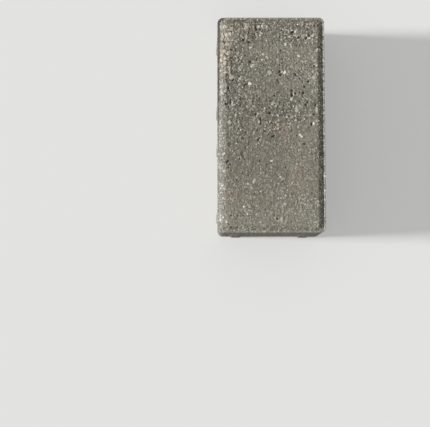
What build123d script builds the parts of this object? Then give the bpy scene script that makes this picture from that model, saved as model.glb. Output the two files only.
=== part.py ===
"""A pressed concrete paving stone: one solid block with a bevelled wearing face and spacer nibs.

The block stands on its bedding face, which is centred on the origin. Its long side runs along Y, its
short side along X and its wearing face looks up, along +Z. All sizes are in millimetres.
"""

import math
import os

from build123d import *

# The space that one laid stone takes, from the middle of one joint to the middle of the next.
module_width = 100.0
module_length = 200.0
thickness = 60.0

# Edges of the block in plan, and of its wearing face in section.
corner_radius = 5.0
bevel_width = 4.4
bevel_depth = 2.5
arris_radius = 3.0

# Press lip: the thin rim that rises between the press plate and the mould's wall.
lip_width = 1.0
lip_height = 0.8
lip_flank_width = 0.9

# Spacer nibs: upright ribs on the sides that hold neighbouring stones apart.
nib_projection = 1.0
nib_crest_width = 7.5
nib_flank_angle = 40.0
nib_from_corner = 18.0
nib_below_lip = 1.0
nib_crown_height = 2.5

# The block without its nibs, and the heights of its edge.
body_width = module_width - 2 * nib_projection
body_length = module_length - 2 * nib_projection
bevel_foot = thickness - bevel_depth
lip_top = bevel_foot + lip_height
foot_inset = lip_width + lip_flank_width
face_inset = foot_inset + bevel_width

# A nib is rooted well inside the wall. Its crown leans back until it has died into the wall.
nib_root = 3 * nib_projection
nib_depth = nib_root + nib_projection
nib_root_width = nib_crest_width + 2 * nib_depth / math.tan(math.radians(nib_flank_angle))
nib_shoulder = lip_top - nib_below_lip - nib_crown_height
nib_crown_taper = math.degrees(math.atan(nib_projection / nib_crown_height))
nib_crown_rise = nib_crown_height + nib_below_lip / 2


def inset_outline(inset):
    """The block's outline in plan, drawn in by an inset. Its corners keep room for the rounded arris."""
    RectangleRounded(
        body_width - 2 * inset,
        body_length - 2 * inset,
        max(corner_radius - inset, arris_radius / 2),
    )


def nib_places():
    """Two nibs for each module width of a side, so two on each short side and four on each long one."""
    step = module_width / 2 - nib_from_corner
    end_wall = body_length / 2 - nib_root
    side_wall = body_width / 2 - nib_root
    places = []
    for along in (-step, step):
        places.append(Location((along, end_wall, 0), (0, 0, 0)))
        places.append(Location((along, -end_wall, 0), (0, 0, 180)))
    for half in (-module_width / 2, module_width / 2):
        for along in (half - step, half + step):
            places.append(Location((side_wall, along, 0), (0, 0, -90)))
            places.append(Location((-side_wall, along, 0), (0, 0, 90)))
    return places


def nib_outlines():
    """The nibs in plan: trapezoids with their wide ends inside the walls."""
    with Locations(*nib_places()):
        Trapezoid(nib_root_width, nib_depth, nib_flank_angle, align=(Align.CENTER, Align.MIN))


with BuildPart() as paving_stone:
    # The block, moulded straight up to the crest of its press lip.
    with BuildSketch() as bedding_face:
        inset_outline(0)
    extrude(amount=lip_top)

    # The nibs rise from the bedding face to their shoulders, and their crowns lean back into the walls.
    with BuildSketch() as nib_feet:
        nib_outlines()
    extrude(amount=nib_shoulder)
    with BuildSketch(Plane.XY.offset(nib_shoulder)) as nib_shoulders:
        nib_outlines()
    extrude(amount=nib_crown_rise, taper=nib_crown_taper)

    # The rim of the press plate leaves a shallow tray inside the lip, with walls that lean outwards.
    with BuildSketch(Plane.XY.offset(bevel_foot)) as tray_floor:
        inset_outline(foot_inset)
    with BuildSketch(Plane.XY.offset(lip_top)) as tray_mouth:
        inset_outline(lip_width)
    loft(ruled=True, mode=Mode.SUBTRACT)

    # The wearing face stands up from the tray on its bevels, which meet in mitred corners.
    with BuildSketch(Plane.XY.offset(bevel_foot)) as bevel_root:
        inset_outline(foot_inset)
    with BuildSketch(Plane.XY.offset(thickness)) as wearing_face:
        inset_outline(face_inset)
    loft(ruled=True)

    # The arris between bevel and wearing face is soft.
    fillet(paving_stone.faces().sort_by(Axis.Z)[-1].edges(), radius=arris_radius)

paving_stone.part.label = "paving_stone"

os.makedirs("parts", exist_ok=True)
export_step(paving_stone.part, "parts/paving_stone.step")
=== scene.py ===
"""A pressed concrete paving stone on a pale studio floor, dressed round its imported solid."""

import math

import bpy
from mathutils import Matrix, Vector


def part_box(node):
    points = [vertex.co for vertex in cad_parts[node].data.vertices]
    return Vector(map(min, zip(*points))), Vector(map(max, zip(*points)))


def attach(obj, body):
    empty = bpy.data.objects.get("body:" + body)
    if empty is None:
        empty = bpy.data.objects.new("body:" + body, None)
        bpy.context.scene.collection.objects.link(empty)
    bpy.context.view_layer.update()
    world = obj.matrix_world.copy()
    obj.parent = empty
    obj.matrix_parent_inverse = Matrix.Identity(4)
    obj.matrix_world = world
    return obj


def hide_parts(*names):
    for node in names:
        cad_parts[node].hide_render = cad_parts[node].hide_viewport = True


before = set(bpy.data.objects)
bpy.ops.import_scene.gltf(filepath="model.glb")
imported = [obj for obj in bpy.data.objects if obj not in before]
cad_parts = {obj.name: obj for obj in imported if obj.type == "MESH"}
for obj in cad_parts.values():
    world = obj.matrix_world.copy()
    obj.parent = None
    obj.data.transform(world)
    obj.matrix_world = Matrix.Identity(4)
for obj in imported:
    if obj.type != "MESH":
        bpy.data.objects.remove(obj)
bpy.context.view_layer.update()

# Paving stone: one block of semi-dry concrete, pressed and shaken in a steel mould. Its sides run straight
# up to a thin lip where the press plate met the mould, and the wearing face stands inside that lip on its
# bevels. Ribs down the sides keep the joints open.
MM = 0.001
stone_low, stone_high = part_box("paving_stone")
nib_projection = 1.0 * MM
half_width = stone_high.x - nib_projection
half_length = stone_high.y - nib_projection
thickness = stone_high.z
corner_radius = 5.0 * MM
corner_steps = 8
lip_width = 1.0 * MM
lip_flank_width = 0.9 * MM
lip_height = 0.8 * MM
bevel_width = 4.4 * MM
bevel_depth = 2.5 * MM
bevel_foot = thickness - bevel_depth
lip_top = bevel_foot + lip_height
arris_setback = 0.5 * MM
arris_steps = 3
face_block_height = 10.0 * MM
nib_root = 3.0 * MM
nib_crest_width = 7.5 * MM
nib_root_width = 17.0 * MM
nib_from_corner = 18.0 * MM
nib_below_lip = 1.0 * MM
nib_crown_height = 2.5 * MM
nib_shoulder = lip_top - nib_below_lip - nib_crown_height
skin_step = 0.52 * MM
mostly = 0.9
hairbreadth = 0.01 * MM


def pick(piece, kind, wanted):
    """Selects in edit mode the faces or edges of a piece whose middle and direction are wanted."""
    bpy.ops.object.mode_set(mode="EDIT")
    bpy.ops.mesh.select_mode(type=kind)
    bpy.ops.mesh.select_all(action="DESELECT")
    bpy.ops.object.mode_set(mode="OBJECT")
    mesh = piece.data
    if kind == "FACE":
        for face in mesh.polygons:
            face.select = wanted(face.center, face.normal)
    else:
        for edge in mesh.edges:
            first, second = (mesh.vertices[i].co for i in edge.vertices)
            edge.select = wanted((first + second) / 2, (second - first).normalized())
    bpy.ops.object.mode_set(mode="EDIT")


def upright_edge(middle, way):
    """Wants the edges that stand upright."""
    return abs(way.z) > mostly


def upward_face(middle, way):
    """Wants the faces that look up."""
    return way.z > mostly


def block_between(name, low, high):
    """A plain block of concrete from its lowest to its highest corner, ready to be shaped."""
    bpy.ops.object.select_all(action="DESELECT")
    bpy.ops.mesh.primitive_cube_add(size=1, location=(low + high) / 2, scale=high - low)
    bpy.ops.object.transform_apply(location=True, rotation=True, scale=True)
    block = bpy.context.object
    block.name = name
    return block


# The block is shaped up to its lip, with the flat groove that the press plate's rim leaves inside it.
stone = block_between(
    "cast_stone",
    Vector((-half_width, -half_length, 0)),
    Vector((half_width, half_length, lip_top)),
)
pick(stone, "EDGE", upright_edge)
bpy.ops.mesh.bevel(offset=corner_radius, segments=corner_steps, affect="EDGES")
pick(stone, "FACE", upward_face)
bpy.ops.mesh.inset(thickness=lip_width)
bpy.ops.mesh.inset(thickness=lip_flank_width, depth=-lip_height)
bpy.ops.object.mode_set(mode="OBJECT")

# The wearing face stands up from the groove on its bevels, and has a rounded arris.
groove_inset = lip_width + lip_flank_width
foot_x = half_width - groove_inset
foot_y = half_length - groove_inset
wearing_part = block_between(
    "wearing_part",
    Vector((-foot_x, -foot_y, bevel_foot - face_block_height)),
    Vector((foot_x, foot_y, bevel_foot)),
)
pick(wearing_part, "EDGE", upright_edge)
bpy.ops.mesh.bevel(offset=corner_radius - groove_inset, segments=corner_steps, affect="EDGES")
pick(wearing_part, "FACE", upward_face)
bpy.ops.mesh.extrude_region_move(TRANSFORM_OT_translate={"value": (0, 0, bevel_depth)})
bpy.ops.transform.resize(value=(1 - bevel_width / foot_x, 1 - bevel_width / foot_y, 1))
pick(wearing_part, "EDGE", lambda middle, way: middle.z > thickness - hairbreadth)
bpy.ops.mesh.bevel(offset=arris_setback, segments=arris_steps, affect="EDGES")
bpy.ops.object.mode_set(mode="OBJECT")

# One nib is shaped on the right-hand wall and copied to its twelve places.
nib = block_between(
    "nib",
    Vector((half_width - nib_root, -nib_root_width / 2, 0)),
    Vector((stone_high.x, nib_root_width / 2, nib_shoulder)),
)
pick(nib, "FACE", lambda middle, way: way.x > mostly)
bpy.ops.transform.resize(value=(1, nib_crest_width / nib_root_width, 1))
pick(nib, "FACE", upward_face)
bpy.ops.mesh.extrude_region_move(TRANSFORM_OT_translate={"value": (0, 0, nib_crown_height)})
pick(
    nib,
    "EDGE",
    lambda middle, way: middle.z > nib_shoulder + nib_crown_height / 2 and middle.x > half_width,
)
bpy.ops.transform.translate(value=(-nib_projection, 0, 0))
bpy.ops.object.mode_set(mode="OBJECT")

half_module = stone_high.x
nib_step = half_module - nib_from_corner
nib_turns = []
for along in (-nib_step, nib_step):
    for turn in (0, math.pi):
        nib_turns.append((turn, half_module + along, 0))
        nib_turns.append((turn, -half_module + along, 0))
    for turn in (math.pi / 2, -math.pi / 2):
        nib_turns.append((turn, along, half_length - half_width))
cast_parts = [wearing_part]
for turn, along, outward in nib_turns:
    copy = nib.copy()
    copy.data = nib.data.copy()
    copy.rotation_euler.z = turn
    out = Vector((math.cos(turn), math.sin(turn), 0))
    side = Vector((-math.sin(turn), math.cos(turn), 0))
    copy.location = out * outward + side * along
    bpy.context.collection.objects.link(copy)
    cast_parts.append(copy)
bpy.data.objects.remove(nib)
bpy.ops.object.select_all(action="DESELECT")
for cast_part in cast_parts:
    cast_part.select_set(True)
bpy.context.view_layer.objects.active = wearing_part
bpy.ops.object.transform_apply(location=True, rotation=True, scale=True)
stone.select_set(True)
bpy.context.view_layer.objects.active = stone
bpy.ops.object.join()

# The remesh fuses the shaped blocks and gives the whole stone one even skin of small faces.
even_skin = stone.modifiers.new("even_skin", "REMESH")
even_skin.mode = "VOXEL"
even_skin.voxel_size = skin_step
bpy.ops.object.modifier_apply(modifier="even_skin")


def add(tree, kind, inputs, **settings):
    """Adds a node to a tree, sets it and fills its inputs from sockets or values. Returns its outputs."""
    node = tree.nodes.new(kind)
    for name, value in settings.items():
        setattr(node, name, value)
    for socket, value in inputs.items():
        if isinstance(value, bpy.types.NodeSocket):
            tree.links.new(value, node.inputs[socket])
        else:
            node.inputs[socket].default_value = value
    return node.outputs


def maths(tree, operation, first, second=0.0):
    """One step of arithmetic on two values."""
    return add(tree, "ShaderNodeMath", {0: first, 1: second}, operation=operation)[0]


def total(tree, *terms):
    """The sum of several values."""
    value = terms[0]
    for term in terms[1:]:
        value = maths(tree, "ADD", value, term)
    return value


def times(tree, first, second):
    """The product of two values."""
    return maths(tree, "MULTIPLY", first, second)


def ramp(tree, value, low, high, to_low=0.0, to_high=1.0):
    """Turns a value between low and high into one between to_low and to_high, with soft ends."""
    inputs = {"Value": value, "From Min": low, "From Max": high, "To Min": to_low, "To Max": to_high}
    return add(tree, "ShaderNodeMapRange", inputs, interpolation_type="SMOOTHSTEP")[0]


def vector(tree, operation, first, second):
    """One step of arithmetic on two vectors."""
    return add(tree, "ShaderNodeVectorMath", {0: first, 1: second}, operation=operation)[0]


def noise(tree, place, size, detail=2.0, roughness=0.5):
    """Cloudy noise about 0.5. The size of its patches is in the unit of the place."""
    inputs = {"Vector": place, "Scale": 1 / size, "Detail": detail, "Roughness": roughness}
    return add(tree, "ShaderNodeTexNoise", inputs)[0]


def waves(tree, place, size, amount, detail=2.0, roughness=0.5):
    """Noise about 0 that goes about as far as the amount either way."""
    centred = maths(tree, "SUBTRACT", noise(tree, place, size, detail, roughness), 0.5)
    return times(tree, centred, 2 * amount)


def cells(tree, place, size):
    """Round cells, like grains of sand. Returns the distance to a grain's middle and its random numbers."""
    outputs = add(tree, "ShaderNodeTexVoronoi", {"Vector": place, "Scale": 1 / size}, feature="F1")
    luck = add(tree, "ShaderNodeSeparateXYZ", {0: outputs[1]})
    return outputs[0], luck


def jittered(tree, place, size, amount):
    """A place pushed about by noise, so that what is drawn there gets a ragged outline."""
    inputs = {"Vector": place, "Scale": 1 / size, "Detail": 2.0}
    push = add(tree, "ShaderNodeTexNoise", inputs)[1]
    push = vector(tree, "SUBTRACT", push, (0.5, 0.5, 0.5))
    push = add(tree, "ShaderNodeVectorMath", {0: push, "Scale": amount}, operation="SCALE")[0]
    return vector(tree, "ADD", place, push)


def pits(tree, place, cell, share, least, most, depth):
    """Round hollows in a share of the cells, from least to most in radius. Returns how deep they are."""
    floor_share = 0.25
    distance, luck = cells(tree, place, cell)
    radius = ramp(tree, luck[1], 0.0, 1.0, least / cell, most / cell)
    inside = maths(tree, "DIVIDE", distance, radius)
    bowl = ramp(tree, inside, floor_share, 1.0, 1.0, 0.0)
    return times(tree, times(tree, bowl, maths(tree, "LESS_THAN", luck[0], share)), depth)


def sand(tree, place, cell, share, height):
    """Rounded grains in a share of the cells: their height on top of a grain, 0 in the paste between."""
    crown, foot = 0.15, 0.62
    distance, luck = cells(tree, place, cell)
    dome = ramp(tree, distance, crown, foot, 1.0, 0.0)
    return times(tree, times(tree, dome, maths(tree, "LESS_THAN", luck[0], share)), height)


# The stone's node trees read places and sizes in millimetres.
lip_level = lip_top / MM
arris_line = (half_width - groove_inset - bevel_width) / MM
arris_end = (half_length - groove_inset - bevel_width) / MM
origin = (0.0, 0.0, 0.0)
endless = 1000.0


def nearness(tree, place, spots, depth=3.0):
    """0 in the middle of the nearest of several ovals on the wearing face, 1 on its outline, then more."""
    far_off = 9.0
    nearest = far_off
    for x, y, length, width, turn in spots:
        reach = vector(tree, "SUBTRACT", place, (x, y, thickness / MM))
        if turn:
            inputs = {"Vector": reach, "Angle": math.radians(-turn)}
            reach = add(tree, "ShaderNodeVectorRotate", inputs, rotation_type="Z_AXIS")[0]
        reach = vector(tree, "MULTIPLY", reach, (2 / length, 2 / width, 1 / depth))
        reach = add(tree, "ShaderNodeVectorMath", {0: reach}, operation="LENGTH")[1]
        nearest = maths(tree, "MINIMUM", reach, nearest)
    return nearest


def blots(tree, place, spots, depth=3.0, soft=0.3):
    """1 inside any of several ovals on the wearing face and 0 outside them, with soft edges."""
    return ramp(tree, nearness(tree, place, spots, depth), 1 - soft, 1 + soft, 1.0, 0.0)


# What catches the eye on the face: middle, length and width in millimetres, and turn in degrees.
quartz_pebbles = (
    (-19.1, 36.8, 3.6, 2.6, 15),
    (12.6, 47.3, 3.6, 2.4, 60),
    (38.7, 0.3, 3.0, 1.9, 80),
    (-24.8, -75.5, 2.3, 2.1, 0),
    (26.9, -10.9, 5.2, 1.6, -45),
)
pale_pebbles = (
    (0.2, -34.1, 3.0, 2.2, 0),
    (-7.0, 64.1, 2.6, 2.1, 0),
    (11.8, -73.3, 2.0, 1.8, 0),
    (8.2, -48.6, 2.0, 1.8, 0),
    (-28.3, 41.7, 2.4, 2.0, 0),
    (-18.8, 70.3, 2.5, 2.2, 0),
    (-11.1, 90.1, 2.8, 2.6, 0),
    (13.6, 73.4, 3.4, 2.2, 80),
    (18.7, 22.7, 3.0, 2.4, 60),
    (22.7, 85.3, 3.2, 2.0, 60),
    (-11.1, 1.8, 3.0, 1.8, 80),
    (-21.2, -54.8, 2.0, 2.0, 0),
    (-40.4, -89.2, 2.6, 2.2, 0),
    (-42.9, -27.4, 3.2, 2.6, 0),
    (25.5, 62.7, 3.2, 2.4, -20),
    (-37.2, 83.4, 3.2, 2.8, 0),
    (-40.4, 82.4, 3.4, 3.0, 0),
    (-44.6, 28.7, 5.6, 1.3, -48),
    (10.1, 47.8, 1.8, 1.6, 0),
    (-7.9, 59.1, 2.2, 1.8, 0),
    (-7.7, 90.6, 2.6, 2.2, 0),
    (35.5, 79.3, 2.6, 2.0, 30),
    (38.8, 81.9, 4.0, 1.8, 60),
    (42.2, 68.1, 4.0, 1.6, 70),
    (-35.2, 19.2, 3.2, 1.6, 80),
    (1.2, 17.9, 2.4, 2.0, 0),
    (-31.7, -17.9, 1.8, 1.6, 0),
)
beige_pebbles = (
    (-1.0, 47.2, 4.4, 4.0, 60),
    (18.6, 72.0, 5.5, 1.8, -70),
    (23.5, 13.5, 7.2, 2.7, 96),
    (-15.4, -52.3, 5.2, 2.7, 60),
    (-42.8, -43.3, 3.4, 3.0, 0),
    (9.3, -87.1, 5.6, 2.8, 88),
    (-35.7, 42.8, 5.0, 4.0, 20),
    (20.9, 27.1, 2.6, 2.4, 0),
    (-11.7, 9.1, 2.6, 2.0, 0),
    (24.7, -2.8, 3.0, 2.0, 80),
    (23.1, -36.8, 2.2, 1.8, 0),
    (-9.7, -89.5, 2.4, 2.2, 0),
    (-22.1, 80.4, 4.0, 2.0, 90),
    (-37.6, 1.2, 4.0, 3.0, 0),
    (37.7, 29.6, 2.2, 1.8, 0),
    (32.7, 23.1, 2.4, 1.7, -20),
    (44.8, 31.4, 2.2, 1.8, 0),
    (41.3, 2.7, 2.4, 2.0, 0),
    (-22.4, 80.6, 3.6, 1.7, 80),
    (-21.8, 89.3, 3.0, 2.4, 0),
    (-30.7, 59.1, 2.2, 2.0, 0),
    (-41.7, 55.1, 2.6, 2.2, 0),
    (40.5, 58.4, 2.6, 2.2, 0),
    (32.0, 57.8, 3.0, 1.7, 45),
    (-21.8, 16.0, 2.2, 1.9, 0),
    (-15.2, 16.0, 2.0, 1.8, 0),
    (-15.3, -7.7, 2.4, 1.8, 60),
    (3.1, -4.9, 2.0, 1.8, 0),
    (-1.1, -6.0, 2.4, 1.6, 0),
)
cream_pebbles = (
    (-41.8, 90.0, 5.0, 3.4, 0),
    (-39.2, 73.5, 3.4, 2.8, 0),
    (-42.8, 67.4, 3.2, 2.6, 0),
    (-44.9, 63.8, 2.8, 2.6, 0),
    (-38.7, 65.0, 3.2, 3.0, 0),
    (-41.7, 60.2, 3.6, 2.6, 0),
    (41.2, 54.3, 4.2, 2.2, -25),
    (38.3, 48.2, 3.2, 2.0, 75),
    (39.5, 42.8, 4.4, 3.6, 0),
    (41.8, 12.3, 6.0, 2.4, 90),
)
open_pits = (
    (19.9, 84.7, 4.0, 2.2, 35),
    (25.5, 79.8, 2.6, 2.0, 0),
    (32.4, 79.0, 2.6, 1.8, 20),
    (-24.9, 77.8, 3.0, 2.0, 0),
    (-35.8, 68.5, 3.0, 1.6, 0),
    (-35.9, 60.7, 3.0, 1.0, 30),
    (-18.8, 57.2, 2.2, 2.0, 0),
    (-39.4, 45.2, 2.6, 2.0, 0),
    (-34.4, 40.5, 2.8, 1.1, 35),
    (-39.0, 33.2, 3.0, 2.0, 90),
    (22.4, 45.5, 3.4, 1.5, -45),
    (19.0, 26.5, 4.0, 2.2, 85),
    (29.4, 28.3, 2.6, 2.1, 0),
    (-40.2, 18.2, 3.4, 2.0, 0),
    (-1.3, 9.6, 2.2, 2.0, 0),
    (1.7, -11.6, 4.6, 1.5, 30),
    (-11.8, -14.5, 2.4, 1.6, 45),
    (-39.8, -34.7, 3.4, 1.5, 40),
    (8.0, 48.2, 2.6, 1.6, 45),
    (8.9, 45.2, 2.6, 1.4, 30),
    (26.1, 41.8, 2.6, 1.4, -45),
    (34.0, 39.0, 2.6, 1.5, 20),
    (39.7, 53.4, 2.6, 1.4, 30),
    (19.1, 30.6, 2.8, 2.0, -40),
    (22.0, 27.7, 2.0, 1.4, 60),
    (30.5, 34.2, 2.0, 1.8, 0),
    (33.1, 19.7, 2.0, 1.4, 0),
    (31.5, 17.5, 2.6, 1.6, -45),
    (39.1, 8.5, 2.2, 1.5, 0),
    (36.7, -0.3, 3.0, 1.3, 70),
    (-13.6, 88.3, 4.2, 1.5, -75),
    (-20.1, 75.6, 2.4, 1.6, 0),
    (35.5, 81.7, 2.6, 1.5, 0),
    (-13.9, 8.9, 2.4, 1.6, 30),
    (-42.3, 76.0, 3.0, 1.6, 0),
)
cracks = (
    (-41.3, 64.0, 5.0, 1.3, -40),
    (-23.1, 35.7, 5.0, 1.4, 45),
    (-9.4, 2.4, 8.0, 1.4, 90),
    (-5.1, -6.7, 4.0, 1.4, -20),
    (-25.6, -30.1, 8.0, 1.2, -60),
    (6.6, 39.5, 4.0, 1.3, -50),
    (40.6, 17.4, 3.6, 1.8, 80),
    (-14.9, 80.0, 4.2, 3.2, 0),
    (9.3, 67.7, 2.4, 1.8, 0),
    (-36.9, 20.2, 5.0, 1.2, 85),
)
rough_areas = (
    (-33.0, 37.0, 104.0, 34.0, 88),
    (16.0, 12.0, 62.0, 28.0, 8),
    (-24.0, 92.0, 44.0, 26.0, 0),
    (27.0, 86.0, 46.0, 24.0, 0),
)
cream_patches = ((-40.0, 80.0, 34.0, 15.0, 80), (-43.5, 58.0, 30.0, 8.0, 90))
pink_patches = (
    (39.4, 50.0, 16.0, 5.0, 92),
    (12.0, -5.0, 14.0, 11.0, 0),
    (-33.5, -66.0, 14.0, 9.0, 20),
    (24.0, -46.0, 24.0, 12.0, 70),
)
warm_areas = ((18.0, -40.0, 70.0, 46.0, 80), (-20.0, -70.0, 60.0, 30.0, 20))


def openness(tree, place):
    """How open the texture is, from 0 to 1: most in some areas and at the far end, less on the walls."""
    in_rough_areas = 0.45
    at_far_end = 0.12
    everywhere = 0.17
    least = 0.05
    on_walls = 0.4
    _, along, upright = add(tree, "ShaderNodeSeparateXYZ", {0: place})
    rough = total(
        tree,
        times(tree, blots(tree, place, rough_areas, depth=20.0, soft=0.6), in_rough_areas),
        ramp(tree, along, 10.0, 50.0, to_high=at_far_end),
        waves(tree, place, size=18.0, amount=0.35),
        everywhere,
    )
    rough = maths(tree, "MAXIMUM", rough, least)
    return times(tree, rough, ramp(tree, upright, lip_level - 5.0, lip_level - 1.5, to_low=on_walls))


def from_wall(tree, place):
    """How far a place lies inside the walls, in millimetres, up to the radius of the upright corners."""
    radius = corner_radius / MM
    middle = (half_width / MM - radius, half_length / MM - radius, endless)
    past = vector(tree, "SUBTRACT", vector(tree, "ABSOLUTE", place, origin), middle)
    past = vector(tree, "MAXIMUM", past, origin)
    reach = add(tree, "ShaderNodeVectorMath", {0: past}, operation="LENGTH")[1]
    return maths(tree, "SUBTRACT", radius, reach)


def worn_edge(tree, place):
    """How worn the edges of the face are: most along its two long sides, 0 away from the edges."""
    left_wear = 1.25
    right_wear = 1.2
    bevel_wear = 0.7
    across, _, upright = add(tree, "ShaderNodeSeparateXYZ", {0: place})
    left = ramp(tree, across, -arris_line - 0.8, -arris_line + 1.2, left_wear, 0.0)
    right = ramp(tree, across, arris_line - 0.7, arris_line + 0.8, to_high=right_wear)
    past = vector(tree, "ABSOLUTE", place, origin)
    past = vector(tree, "SUBTRACT", past, (arris_line, arris_end, endless))
    past_x, past_y, _ = add(tree, "ShaderNodeSeparateXYZ", {0: past})
    bevels = ramp(tree, maths(tree, "MAXIMUM", past_x, past_y), -0.5, 1.0, to_high=bevel_wear)
    high = ramp(tree, upright, lip_level - 2.8, lip_level - 0.8)
    return times(tree, maths(tree, "MAXIMUM", maths(tree, "MAXIMUM", left, right), bevels), high)


# Sizes of the sand, and how far wear, grit, pebbles and pits go up or down.
coarse_sand = 3.2
middle_sand = 2.0
fine_sand = 1.45
ragged_size = 1.5
ragged_reach = 0.8
wear_reach = 3.0
wear_depth = 0.43
lip_wear_zone = (-46.0, -40.0)
most_lip_wear = 0.85
least_lip_wear = -0.05
grit_everywhere = 0.60
grit_where_open = 1.5
grit_on_edges = 0.6
paste_level = -0.30
pebble_height = 0.35
pebble_rim_depth = 0.35
most_pits = 0.8
pit_depth = 1.3
crack_depth = 0.6
relief_on_lip = 0.3
face_below_plate = 0.55
wall_band = 4.0
relief = bpy.data.node_groups.new("pressed_concrete_relief", "GeometryNodeTree")
relief.interface.new_socket("Geometry", in_out="INPUT", socket_type="NodeSocketGeometry")
relief.interface.new_socket("Geometry", in_out="OUTPUT", socket_type="NodeSocketGeometry")
skin_in = relief.nodes.new("NodeGroupInput").outputs[0]
spot = add(relief, "GeometryNodeInputPosition", {})[0]
normal = add(relief, "GeometryNodeInputNormal", {})[0]
place = add(relief, "ShaderNodeVectorMath", {0: spot, "Scale": 1 / MM}, operation="SCALE")[0]
ragged = jittered(relief, place, ragged_size, ragged_reach)
upward = add(relief, "ShaderNodeSeparateXYZ", {0: normal})[2]
steep = 0.3
level = 0.6
on_top = ramp(relief, upward, steep, level)
on_side = maths(relief, "SUBTRACT", 1.0, ramp(relief, maths(relief, "ABSOLUTE", upward), steep, level))

# The wearing face keeps a slight swell and sandy grit, all below the press plate. The grit is coarser where
# the texture is open and on worn edges.
across, _, upright = add(relief, "ShaderNodeSeparateXYZ", {0: place})
on_edge = worn_edge(relief, place)
pitted = openness(relief, place)
grains = total(
    relief,
    waves(relief, place, size=30.0, amount=0.15, detail=1.0),
    waves(relief, place, size=6.0, amount=0.25),
    sand(relief, ragged, coarse_sand, share=0.45, height=0.50),
    sand(relief, ragged, middle_sand, share=0.70, height=0.45),
    sand(relief, ragged, fine_sand, share=0.85, height=0.30),
    waves(relief, place, size=1.1, amount=0.20, roughness=0.6),
    paste_level,
)
grit = total(
    relief,
    times(relief, pitted, grit_where_open),
    times(relief, on_edge, grit_on_edges),
    grit_everywhere,
)

# Pebbles lie flush in the grit, each with a sunk rim round it.
stones = nearness(relief, place, quartz_pebbles + pale_pebbles + beige_pebbles + cream_pebbles)
pebbles = ramp(relief, stones, 0.8, 1.1, 1.0, 0.0)
rims = maths(relief, "SUBTRACT", ramp(relief, stones, 1.3, 1.7, 1.0, 0.0), pebbles)
grains = total(relief, times(relief, grains, grit), times(relief, rims, -pebble_rim_depth))
grains = maths(relief, "MAXIMUM", grains, times(relief, pebbles, pebble_height))

# Pits of two sizes open between the pebbles, and the marked pits and cracks wherever they lie.
pit_share = times(relief, pitted, most_pits)
rare_share = times(relief, pit_share, pit_share)
small_pits = pits(relief, ragged, cell=2.6, share=pit_share, least=0.5, most=1.1, depth=1.0)
large_pits = pits(relief, ragged, cell=7.5, share=rare_share, least=1.0, most=1.8, depth=pit_depth)
hollows = maths(relief, "MAXIMUM", small_pits, large_pits)
hollows = times(relief, hollows, ramp(relief, stones, 0.9, 1.2))
hollows = maths(relief, "MAXIMUM", hollows, times(relief, blots(relief, ragged, open_pits), pit_depth))
hollows = maths(relief, "MAXIMUM", hollows, times(relief, blots(relief, ragged, cracks), crack_depth))

# The lip takes less of this relief but is worn low in places, most on the left, where feet have worn the
# arris round too.
inward = from_wall(relief, place)
inside_lip = ramp(relief, inward, 1.6, 2.6, to_low=relief_on_lip)
height = times(relief, maths(relief, "SUBTRACT", grains, hollows), inside_lip)
height = maths(relief, "SUBTRACT", height, face_below_plate)
off_arris = total(relief, across, arris_line, waves(relief, place, size=6.0, amount=0.9))
off_arris = maths(relief, "DIVIDE", maths(relief, "ABSOLUTE", off_arris), wear_reach)
worn = maths(relief, "MAXIMUM", maths(relief, "SUBTRACT", 1.0, off_arris), 0.0)
worn = times(relief, times(relief, worn, worn), wear_depth)
lip_wear = maths(
    relief,
    "ADD",
    ramp(relief, across, *lip_wear_zone, most_lip_wear, least_lip_wear),
    waves(relief, place, size=7.0, amount=0.35),
)
lip_wear = times(relief, maths(relief, "MAXIMUM", lip_wear, 0.0), ramp(relief, inward, 1.2, 2.0, 1.0, 0.0))
height = total(relief, height, times(relief, worn, -1.0), times(relief, lip_wear, -1.0))
near_top = ramp(relief, upright, lip_level - wall_band, lip_level)
top_height = times(
    relief,
    maths(relief, "MINIMUM", height, 0.0),
    maths(relief, "MAXIMUM", on_top, near_top),
)

# The sides slid out of the mould: open pores between the grains, and faint upright drag lines.
line_stretch = 0.06
wall_below_mould = -0.45
drawn_out = vector(relief, "MULTIPLY", place, (1.0, 1.0, line_stretch))
side_grains = total(
    relief,
    waves(relief, drawn_out, size=1.6, amount=0.30),
    waves(relief, place, size=2.4, amount=0.25, detail=3.0, roughness=0.6),
    sand(relief, ragged, coarse_sand, share=0.5, height=0.35),
    sand(relief, ragged, middle_sand, share=0.7, height=0.25),
    wall_below_mould,
)
side_pores = pits(relief, ragged, cell=4.2, share=0.45, least=0.6, most=1.9, depth=1.2)
side_height = maths(relief, "SUBTRACT", side_grains, side_pores)
side_height = times(relief, maths(relief, "MINIMUM", side_height, 0.0), on_side)

# The top is worn and pitted straight down and the sides square to themselves, within the stone's own box.
sunk = add(relief, "ShaderNodeCombineXYZ", {2: times(relief, top_height, MM)})[0]
side_height = times(relief, side_height, MM)
drawn_in = add(relief, "ShaderNodeVectorMath", {0: normal, "Scale": side_height}, operation="SCALE")[0]
moved = vector(relief, "ADD", vector(relief, "ADD", spot, sunk), drawn_in)
moved = vector(relief, "MAXIMUM", moved, stone_low)
moved = vector(relief, "MINIMUM", moved, stone_high)
shaped = add(relief, "GeometryNodeSetPosition", {"Geometry": skin_in, "Position": moved})[0]
depth = total(relief, times(relief, hollows, on_top), times(relief, side_pores, on_side))
marked = add(
    relief,
    "GeometryNodeStoreNamedAttribute",
    {"Geometry": shaped, "Name": "hollow", "Value": depth},
    data_type="FLOAT",
    domain="POINT",
)[0]
relief.links.new(marked, relief.nodes.new("NodeGroupOutput").inputs[0])
rough_skin = stone.modifiers.new("rough_skin", "NODES")
rough_skin.node_group = relief
bpy.ops.object.modifier_apply(modifier="rough_skin")

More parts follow.
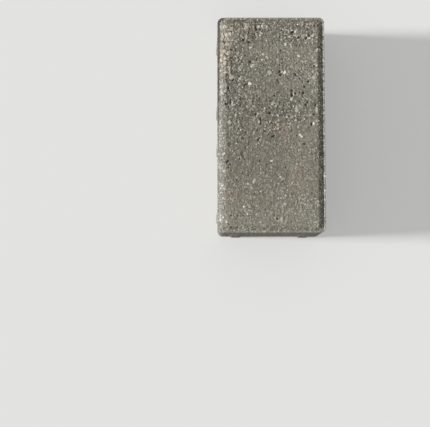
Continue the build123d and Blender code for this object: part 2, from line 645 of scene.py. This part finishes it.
# The sides and the bedding face need fewer faces than the wearing face, and none may dip under the floor.
side_share = 0.1
face_zone = lip_top - 1.0 * MM
pick(stone, "FACE", lambda middle, way: middle.z < face_zone)
bpy.ops.mesh.decimate(ratio=side_share)
bpy.ops.object.mode_set(mode="OBJECT")
for corner in stone.data.vertices:
    corner.co.z = max(corner.co.z, 0.0)
bpy.ops.object.shade_smooth()

# Concrete: cement paste with sand of many colours, a little quartz, and dirt and painted shade in hollows.
concrete = bpy.data.materials.new("pressed_concrete")
concrete.use_nodes = True
look = concrete.node_tree
look.nodes.clear()
own = add(look, "ShaderNodeTexCoord", {})["Object"]
place = add(look, "ShaderNodeVectorMath", {0: own, "Scale": 1 / MM}, operation="SCALE")[0]


def blend(tree, factor, first, second, way="MIX"):
    """The first colour with a share of the second laid over it."""
    inputs = {0: factor, 6: first, 7: second}
    return add(tree, "ShaderNodeMix", inputs, data_type="RGBA", blend_type=way)[2]


def tinted(colour, factor):
    """The colour made darker or paler by a factor."""
    factor = add(look, "ShaderNodeCombineXYZ", {0: factor, 1: factor, 2: factor})[0]
    return blend(look, 1.0, colour, factor, "MULTIPLY")


paste = (0.226, 0.2125, 0.175, 1.0)
warm_tint = (1.06, 0.99, 0.93, 1.0)
worn_tint = (0.97, 1.00, 1.07, 1.0)
pale_grain = (0.460, 0.440, 0.375, 1.0)
bright_grain = (0.640, 0.620, 0.550, 1.0)
quartz = (0.780, 0.765, 0.710, 1.0)
pebble_pale = (0.600, 0.575, 0.500, 1.0)
pebble_beige = (0.450, 0.425, 0.350, 1.0)
pebble_cream = (0.500, 0.440, 0.362, 1.0)
dark_grain = (0.085, 0.080, 0.068, 1.0)
rust_grain = (0.245, 0.198, 0.162, 1.0)
pink_stain = (0.330, 0.260, 0.215, 1.0)
cream_stain = (0.400, 0.355, 0.285, 1.0)
dirt_and_shade = (0.055, 0.050, 0.040, 1.0)
across, along, upright = add(look, "ShaderNodeSeparateXYZ", {0: place})
inward = from_wall(look, place)
lip_high = ramp(look, upright, lip_level - 1.8, lip_level - 0.8)
on_lip = times(look, ramp(look, inward, 1.4, 2.2, 1.0, 0.0), lip_high)
on_edge = worn_edge(look, place)
top_zone = ramp(look, upright, lip_level - 4.0, lip_level - 2.0)
worn_left = times(look, ramp(look, across, -43.5, -40.5, 1.0, 0.0), top_zone)
worn_smooth = maths(look, "MAXIMUM", worn_left, on_lip)

# The sand shows most where the texture is open and the edges are worn, and least where feet have rubbed it.
bared_on_edges = 0.7
contrast_where_bared = 1.25
contrast_everywhere = 0.35
contrast_rubbed_off = 0.35
bared = maths(look, "MAXIMUM", openness(look, place), times(look, on_edge, bared_on_edges))
contrast = maths(look, "ADD", times(look, bared, contrast_where_bared), contrast_everywhere)
kept_contrast = maths(look, "SUBTRACT", 1.0, times(look, worn_smooth, contrast_rubbed_off))
contrast = times(look, contrast, kept_contrast)
strong = maths(look, "MINIMUM", contrast, 1.0)

# The paste is cloudy all over, and paler on its rubbed edges and towards three of its sides. The long
# bevels
# and the lip are also painted paler: partly worn tone, partly painted light and painted highlight.
paste_shade = 1.09
top_shade = -0.12
lip_paleness_and_highlight = 0.25
right_half = (0.0, 42.0)
right_bevel = (42.5, 43.5)
left_bevel = (-44.5, -40.5)
left_rim = (-47.5, -45.5)
near_end = (-92.0, -50.0)
far_half = (-5.0, 90.0)
paleness_and_painted_light = total(
    look,
    ramp(look, across, *right_half, to_high=0.14),
    # The shaded right-hand bevel is painted paler: painted fill light.
    ramp(look, across, *right_bevel, to_high=0.16),
    # The left-hand bevel, which faces the lamp, is painted paler: partly worn, partly painted light.
    ramp(look, across, *left_bevel, 0.34, 0.0),
    ramp(look, across, *left_rim, 0.10, 0.0),
    ramp(look, along, *near_end, 0.14, 0.0),
    ramp(look, along, *far_half, to_high=0.09),
    top_shade,
)
shade = total(
    look,
    waves(look, place, size=40.0, amount=0.10),
    waves(look, place, size=7.0, amount=0.20),
    waves(look, place, size=1.0, amount=0.35, roughness=0.6),
    times(look, paleness_and_painted_light, top_zone),
    # The lip is painted paler: partly its own pale tone, partly a painted highlight for its lit flank.
    times(look, on_lip, lip_paleness_and_highlight),
    paste_shade,
)
warm_strength = 0.42
warm_cloud = ramp(look, noise(look, place, size=28.0), 0.4, 0.6)
warmth = maths(look, "MAXIMUM", blots(look, place, warm_areas, depth=20.0, soft=0.6), warm_cloud)
colour = blend(look, times(look, warmth, warm_strength), paste, warm_tint, "MULTIPLY")
colour = blend(look, worn_smooth, colour, worn_tint, "MULTIPLY")
colour = tinted(colour, shade)

# Stains lie in ragged patches, mottled by the sand.
patchy = jittered(look, place, size=5.0, amount=5.0)
mottled = ramp(look, noise(look, place, size=2.2), 0.35, 0.6, to_low=0.2)
for patches, stain, strength in (
    (cream_patches, cream_stain, 0.8),
    (pink_patches, pink_stain, 0.5),
):
    stained = times(look, blots(look, patchy, patches, depth=9.0, soft=0.5), mottled)
    colour = blend(look, times(look, stained, strength), colour, stain)


def sprinkle(colour, place, cell, unevenness, grains):
    """Strews grains of sand: each is paler or darker at random, and a share of them has another colour."""
    crown, foot = 0.4, 0.55
    usual_luck = 0.25
    distance, luck = cells(look, place, cell)
    near = ramp(look, distance, crown, foot, 1.0, 0.0)
    chance = maths(look, "SUBTRACT", times(look, luck[2], near), usual_luck)
    chance = times(look, chance, times(look, contrast, 2 * unevenness))
    colour = tinted(colour, maths(look, "ADD", chance, 1.0))
    used = 0.0
    for grain, share, strength in grains:
        over = maths(look, "GREATER_THAN", luck[0], used)
        used += share
        under = maths(look, "LESS_THAN", luck[0], used)
        shown = times(look, times(look, near, strong), strength)
        colour = blend(look, times(look, times(look, over, under), shown), colour, grain)
    return colour


# Each size of sand has its own mix: a colour, the share of the grains that have it, and how strong it is.
ragged = jittered(look, place, ragged_size, ragged_reach)
bright = (bright_grain, 0.015, 0.8)
fine_mix = ((pale_grain, 0.09, 0.8), (dark_grain, 0.11, 0.7), bright)
middle_mix = ((pale_grain, 0.06, 0.8), (rust_grain, 0.05, 0.7), bright)
coarse_mix = ((pale_grain, 0.03, 0.7), (rust_grain, 0.02, 0.6))
colour = sprinkle(colour, ragged, fine_sand, unevenness=0.42, grains=fine_mix)
colour = sprinkle(colour, ragged, middle_sand, unevenness=0.30, grains=middle_mix)
colour = sprinkle(colour, ragged, coarse_sand, unevenness=0.20, grains=coarse_mix)

# The pebbles lie flush in the face, with only a trace of paste on them.
pebble_cover = 0.92
for pebbles, pebble_colour in (
    (beige_pebbles, pebble_beige),
    (cream_pebbles, pebble_cream),
    (pale_pebbles, pebble_pale),
    (quartz_pebbles, quartz),
):
    covered = times(look, blots(look, ragged, pebbles, soft=0.2), pebble_cover)
    colour = blend(look, covered, colour, pebble_colour)

# The hollows are darkened, partly by dirt and partly as painted shade. The groove on the right
# takes a painted shadow, and the rim at the upper left is darker.
dirt_and_shade_in_hollows = 0.55
painted_shade_in_groove = 0.45
rim_darkening = 0.75
hollow = add(look, "ShaderNodeAttribute", {}, attribute_name="hollow")["Fac"]
# The hollows darken with their depth: partly dirt, partly painted shade where the pits lie in shadow.
colour = blend(look, ramp(look, hollow, 0.15, 0.7, to_high=dirt_and_shade_in_hollows), colour, dirt_and_shade)
# A painted shadow darkens the groove at the foot of the shaded right-hand bevel.
groove_shade = times(look, ramp(look, inward, 1.5, 2.0), ramp(look, inward, 2.6, 3.3, 1.0, 0.0))
on_right = ramp(look, across, 35.0, 45.0, to_high=painted_shade_in_groove)
groove_shade = times(look, times(look, groove_shade, lip_high), on_right)
colour = blend(look, groove_shade, colour, dirt_and_shade)
# Darker on the rim at the upper left.
rim_dirt_width = maths(
    look,
    "ADD",
    ramp(look, along, -15.0, 24.0, to_high=0.6),
    ramp(look, along, 55.0, 65.0, to_high=0.6),
)
on_rim = maths(look, "SUBTRACT", inward, rim_dirt_width)
on_rim = maths(look, "ADD", on_rim, waves(look, place, size=3.0, amount=0.8))
on_rim = times(look, ramp(look, on_rim, 1.0, 1.8, 1.0, 0.0), top_zone)
on_rim = times(look, on_rim, ramp(look, across, *lip_wear_zone, rim_darkening, 0.0))
on_rim = times(look, on_rim, ramp(look, along, -20.0, 24.0))
colour = blend(look, on_rim, colour, dirt_and_shade)

# Grain too fine for the faces of the skin is left to a bump.
grain_bump = noise(look, place, size=0.35, detail=3.0, roughness=0.7)
grain_bump = maths(look, "ADD", grain_bump, sand(look, ragged, 1.0, share=0.9, height=1.5))
bump = add(look, "ShaderNodeBump", {"Height": grain_bump, "Strength": 0.7, "Distance": 0.2 * MM})[0]
surface = add(
    look,
    "ShaderNodeBsdfPrincipled",
    {"Base Color": colour, "Roughness": 0.92, "Specular IOR Level": 0.3, "Normal": bump},
)[0]
look.links.new(surface, look.nodes.new("ShaderNodeOutputMaterial").inputs[0])
stone.data.materials.clear()
stone.data.materials.append(concrete)
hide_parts("paving_stone")
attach(stone, "root")

# Studio floor: a wide pale sheet at the level of the bedding face. It glows a little where it is seen, so
# that it shows pale without more light on the stone.
floor_reach = 6.0
floor_paint = (0.50, 0.50, 0.49, 1.0)
floor_glow = (0.28, 0.28, 0.275, 1.0)


def in_sight(tree):
    """1 for what the camera sees, straight or by way of something glossy or clear, and 0 for the rest."""
    rays = add(tree, "ShaderNodeLightPath", {})
    passed_on = maths(tree, "MAXIMUM", rays["Is Glossy Ray"], rays["Is Transmission Ray"])
    return maths(tree, "MAXIMUM", rays["Is Camera Ray"], passed_on)


bpy.ops.object.select_all(action="DESELECT")
bpy.ops.mesh.primitive_plane_add(size=2 * floor_reach, location=(0, 0, 0))
floor = bpy.context.object
floor.name = "studio_floor"
pale = bpy.data.materials.new("pale_floor")
pale.use_nodes = True
board = pale.node_tree
board.nodes.clear()
matt = add(board, "ShaderNodeBsdfDiffuse", {"Color": floor_paint})[0]
glow = add(board, "ShaderNodeEmission", {"Color": floor_glow, "Strength": 1.0})[0]
both = add(board, "ShaderNodeAddShader", {0: matt, 1: glow})[0]
floor_look = add(board, "ShaderNodeMixShader", {0: in_sight(board), 1: matt, 2: both})[0]
board.links.new(floor_look, board.nodes.new("ShaderNodeOutputMaterial").inputs[0])
floor.data.materials.append(pale)

# Studio light: an even, soft light low on the left, and a pale surround that fills the shadows.
face_middle = Vector((0, 0, thickness))
light_height = math.radians(23)
light_spread = math.radians(7)
light_strength = 4.5
fill_strength = 0.41
backdrop_strength = 0.77
light_way = Vector((-math.cos(light_height), 0, math.sin(light_height)))
bpy.ops.object.light_add(type="SUN", location=face_middle + light_way)
low_light = bpy.context.object
low_light.data.angle = light_spread
low_light.data.energy = light_strength
low_light.rotation_euler = light_way.to_track_quat("Z", "Y").to_euler()
surround = bpy.data.worlds.new("pale_surround")
bpy.context.scene.world = surround
surround.use_nodes = True
sky = surround.node_tree
sky.nodes.clear()
white = (1.0, 1.0, 1.0, 1.0)
warm_white = (1.0, 1.0, 0.985, 1.0)
fill = add(sky, "ShaderNodeBackground", {"Color": white, "Strength": fill_strength})[0]
backdrop = add(sky, "ShaderNodeBackground", {"Color": warm_white, "Strength": backdrop_strength})[0]
sky_look = add(sky, "ShaderNodeMixShader", {0: in_sight(sky), 1: fill, 2: backdrop})[0]
sky.links.new(sky_look, sky.nodes.new("ShaderNodeOutputWorld").inputs[0])

# Camera: looks almost straight down, tipped a little from the near end, as high as a held camera.
image_width = 430
image_height = 427
pixels_per_metre = 1111
stone_middle_column = 271.8
stone_middle_row = 122.6
tilt = math.radians(5)
distance = 0.9
aim = face_middle + Vector(
    (
        (image_width / 2 - stone_middle_column) / pixels_per_metre,
        (stone_middle_row - image_height / 2) / pixels_per_metre,
        0,
    )
)
back = Vector((0, -math.sin(tilt), math.cos(tilt)))
bpy.ops.object.camera_add(location=aim + back * distance)
camera = bpy.context.object
camera.rotation_euler = back.to_track_quat("Z", "Y").to_euler()
camera.data.lens = camera.data.sensor_width * pixels_per_metre * distance / image_width
bpy.context.scene.camera = camera
bpy.context.scene.view_settings.view_transform = "Standard"
